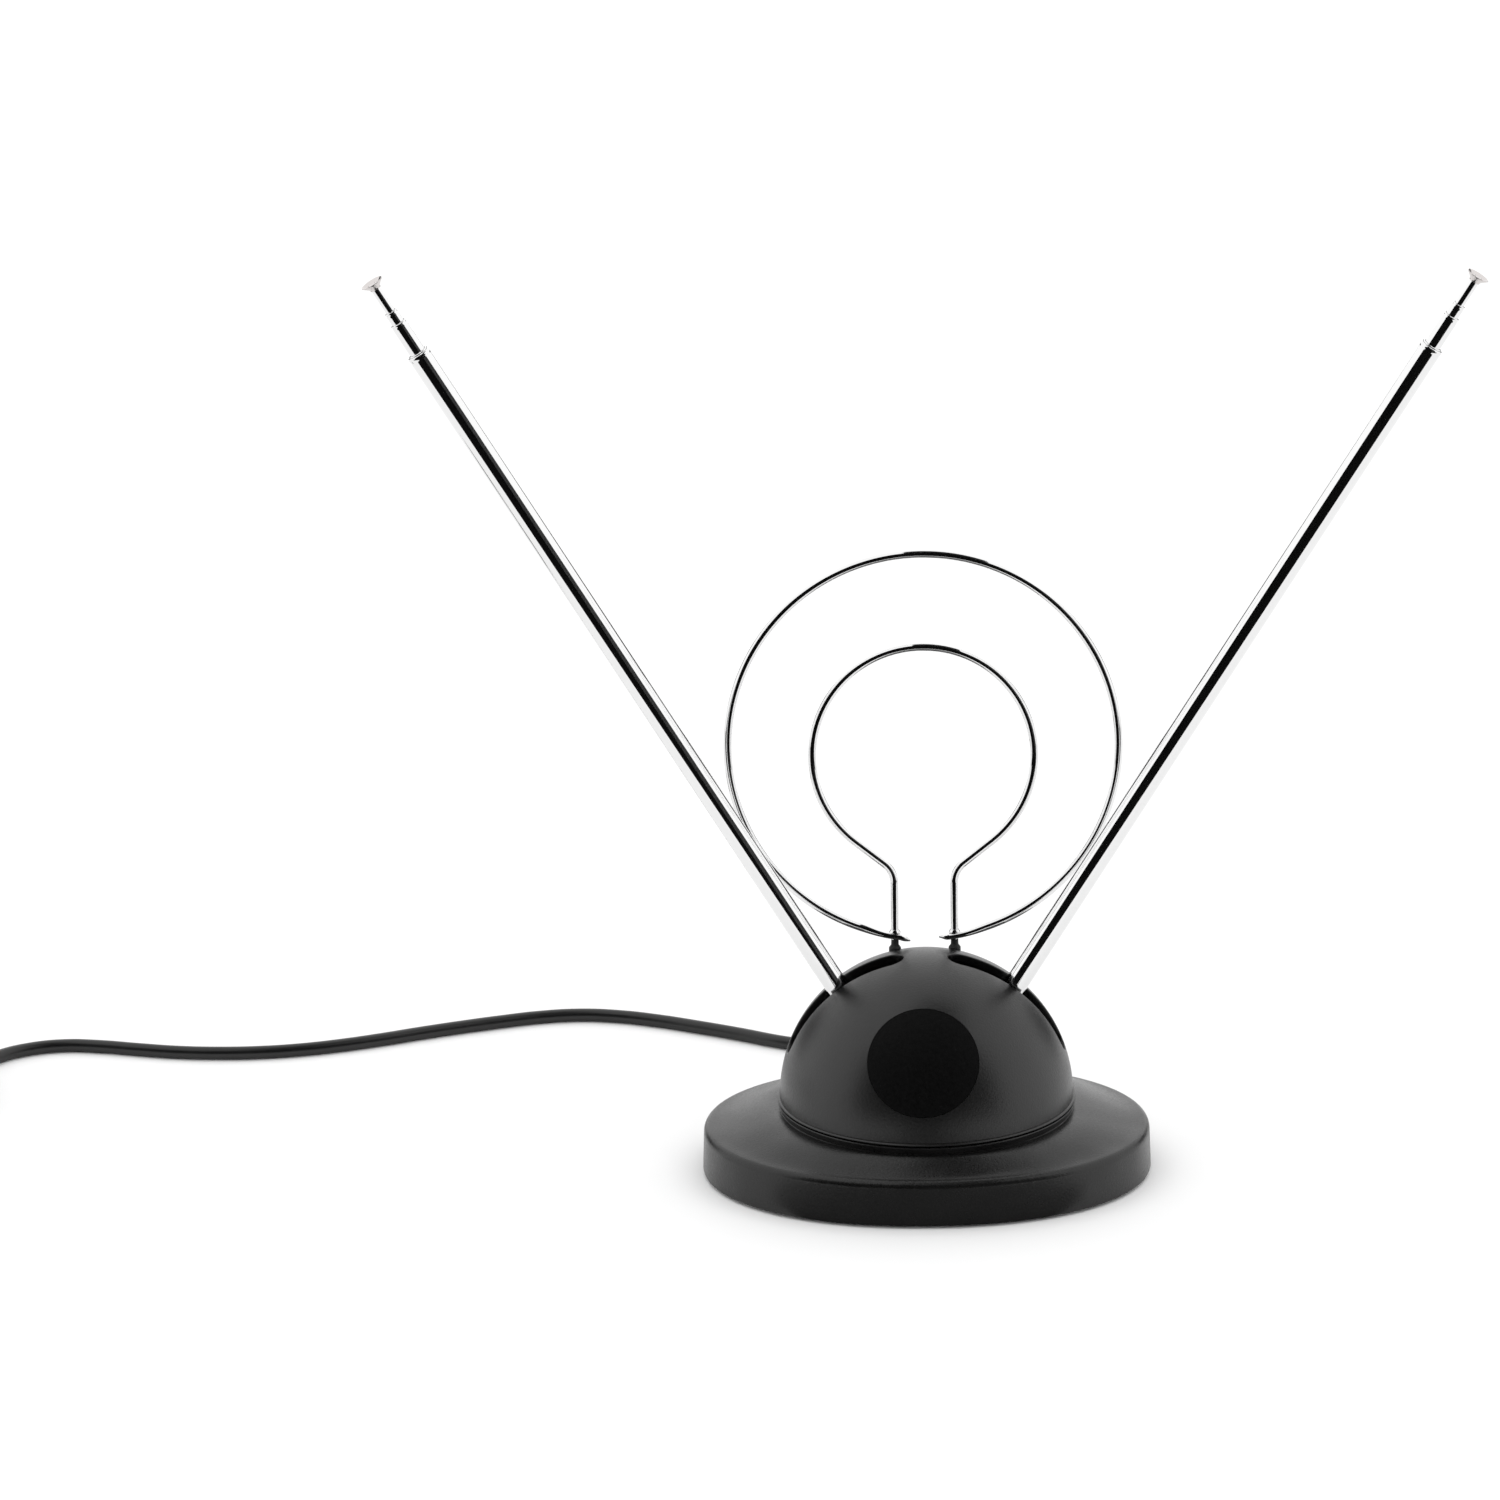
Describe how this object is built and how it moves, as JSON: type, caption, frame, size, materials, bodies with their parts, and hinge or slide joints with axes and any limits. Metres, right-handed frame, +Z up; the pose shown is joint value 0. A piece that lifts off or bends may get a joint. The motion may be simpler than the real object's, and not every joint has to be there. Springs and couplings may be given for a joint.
{
  "type": "rabbit ears antenna",
  "caption": "Indoor television antenna: telescopic swinging dipole rods and round UHF wire loops on a black dome with a weighted oval base and a coaxial lead.",
  "frame": {"origin": "on the table top, under the centre of the oval base", "axes": "+X to the right along the base's long side and the rods' plane, +Y to the back where the lead leaves, +Z up"},
  "size_m": [0.5123, 0.1877, 0.2776],
  "materials": {
    "base_plastic": "satin black moulding with a fine grain",
    "dome_plastic": "satin black moulding with a fine grain",
    "badge_film": "matte near-black plain disc",
    "inner_plastic": "black moulding",
    "ballast_iron": "bare sheet iron",
    "feet_rubber": "matte black",
    "trim_rubber": "satin black",
    "zinc_steel": "zinc-plated",
    "brass": "bare pressed brass",
    "rod_chrome": "polished",
    "loop_chrome": "polished",
    "circuit_board": "phenolic board",
    "ferrite": "sintered dark grey",
    "wire_insulation": "red sleeve",
    "cable_jacket": "satin black jacket",
    "connector_nickel": "nickel-plated"
  },
  "bodies": {
    "root": {"base_shell": "base_plastic", "dome_shell": "dome_plastic", "badge": "badge_film", "bottom_plate": "inner_plastic", "pivot_chassis": "inner_plastic", "ballast_plate": "ballast_iron", "foot_front_left": "feet_rubber", "foot_front_right": "feet_rubber", "foot_rear_left": "feet_rubber", "foot_rear_right": "feet_rubber", "bottom_screw_front_left": "zinc_steel", "bottom_screw_front_right": "zinc_steel", "bottom_screw_rear_left": "zinc_steel", "bottom_screw_rear_right": "zinc_steel", "dome_screw_1": "zinc_steel", "dome_screw_2": "zinc_steel", "dome_screw_3": "zinc_steel", "left_clevis": "brass", "left_loop_terminal": "brass", "left_clevis_screw": "zinc_steel", "left_pivot_screw": "zinc_steel", "left_spring_washer": "zinc_steel", "left_pivot_nut": "zinc_steel", "left_rod_wire": "wire_insulation", "left_loop_wire": "wire_insulation", "left_loop_grommet": "trim_rubber", "right_clevis": "brass", "right_loop_terminal": "brass", "right_clevis_screw": "zinc_steel", "right_pivot_screw": "zinc_steel", "right_spring_washer": "zinc_steel", "right_pivot_nut": "zinc_steel", "right_rod_wire": "wire_insulation", "right_loop_wire": "wire_insulation", "right_loop_grommet": "trim_rubber", "uhf_inner_loop": "loop_chrome", "uhf_outer_loop": "loop_chrome", "balun_board": "circuit_board", "ferrite_core": "ferrite", "inner_lead": "cable_jacket", "coax_cable": "cable_jacket", "cable_coil": "cable_jacket", "cable_boot": "trim_rubber", "cable_tie": "trim_rubber", "connector_body": "connector_nickel", "connector_nut": "connector_nickel"},
    "left_arm": {"left_knuckle": "zinc_steel", "left_tube_7": "rod_chrome"},
    "left_section_6": {"left_tube_6": "rod_chrome"},
    "left_section_5": {"left_tube_5": "rod_chrome"},
    "left_section_4": {"left_tube_4": "rod_chrome"},
    "left_tip": {"left_tip_rod": "rod_chrome", "left_tip_cap": "rod_chrome"},
    "right_arm": {"right_knuckle": "zinc_steel", "right_tube_7": "rod_chrome"},
    "right_section_6": {"right_tube_6": "rod_chrome"},
    "right_section_5": {"right_tube_5": "rod_chrome"},
    "right_section_4": {"right_tube_4": "rod_chrome"},
    "right_tip": {"right_tip_rod": "rod_chrome", "right_tip_cap": "rod_chrome"}
  },
  "joints": [
    {"name": "left_rod_swing", "type": "hinge", "parent": "root", "child": "left_arm", "pos_m": [-0.01, 0, 0.031], "axis": [0, -1, 0], "range_deg": [-30.9, 38.6]},
    {"name": "left_section_6_slide", "type": "slide", "parent": "left_arm", "child": "left_section_6", "axis": [-0.521, 0, 0.8536], "range_m": [0, 0.202]},
    {"name": "left_section_5_slide", "type": "slide", "parent": "left_section_6", "child": "left_section_5", "axis": [-0.521, 0, 0.8536], "range_m": [-0.0102, 0.188]},
    {"name": "left_section_4_slide", "type": "slide", "parent": "left_section_5", "child": "left_section_4", "axis": [-0.521, 0, 0.8536], "range_m": [-0.0037, 0.191]},
    {"name": "left_tip_slide", "type": "slide", "parent": "left_section_4", "child": "left_tip", "axis": [-0.521, 0, 0.8536], "range_m": [-0.0077, 0.183]},
    {"name": "right_rod_swing", "type": "hinge", "parent": "root", "child": "right_arm", "pos_m": [0.01, 0, 0.031], "axis": [0, 1, 0], "range_deg": [-31.5, 38]},
    {"name": "right_section_6_slide", "type": "slide", "parent": "right_arm", "child": "right_section_6", "axis": [0.5299, 0, 0.848], "range_m": [0, 0.202]},
    {"name": "right_section_5_slide", "type": "slide", "parent": "right_section_6", "child": "right_section_5", "axis": [0.5299, 0, 0.848], "range_m": [-0.0102, 0.188]},
    {"name": "right_section_4_slide", "type": "slide", "parent": "right_section_5", "child": "right_section_4", "axis": [0.5299, 0, 0.848], "range_m": [-0.0037, 0.191]},
    {"name": "right_tip_slide", "type": "slide", "parent": "right_section_4", "child": "right_tip", "axis": [0.5299, 0, 0.848], "range_m": [-0.0077, 0.183]}
  ]
}
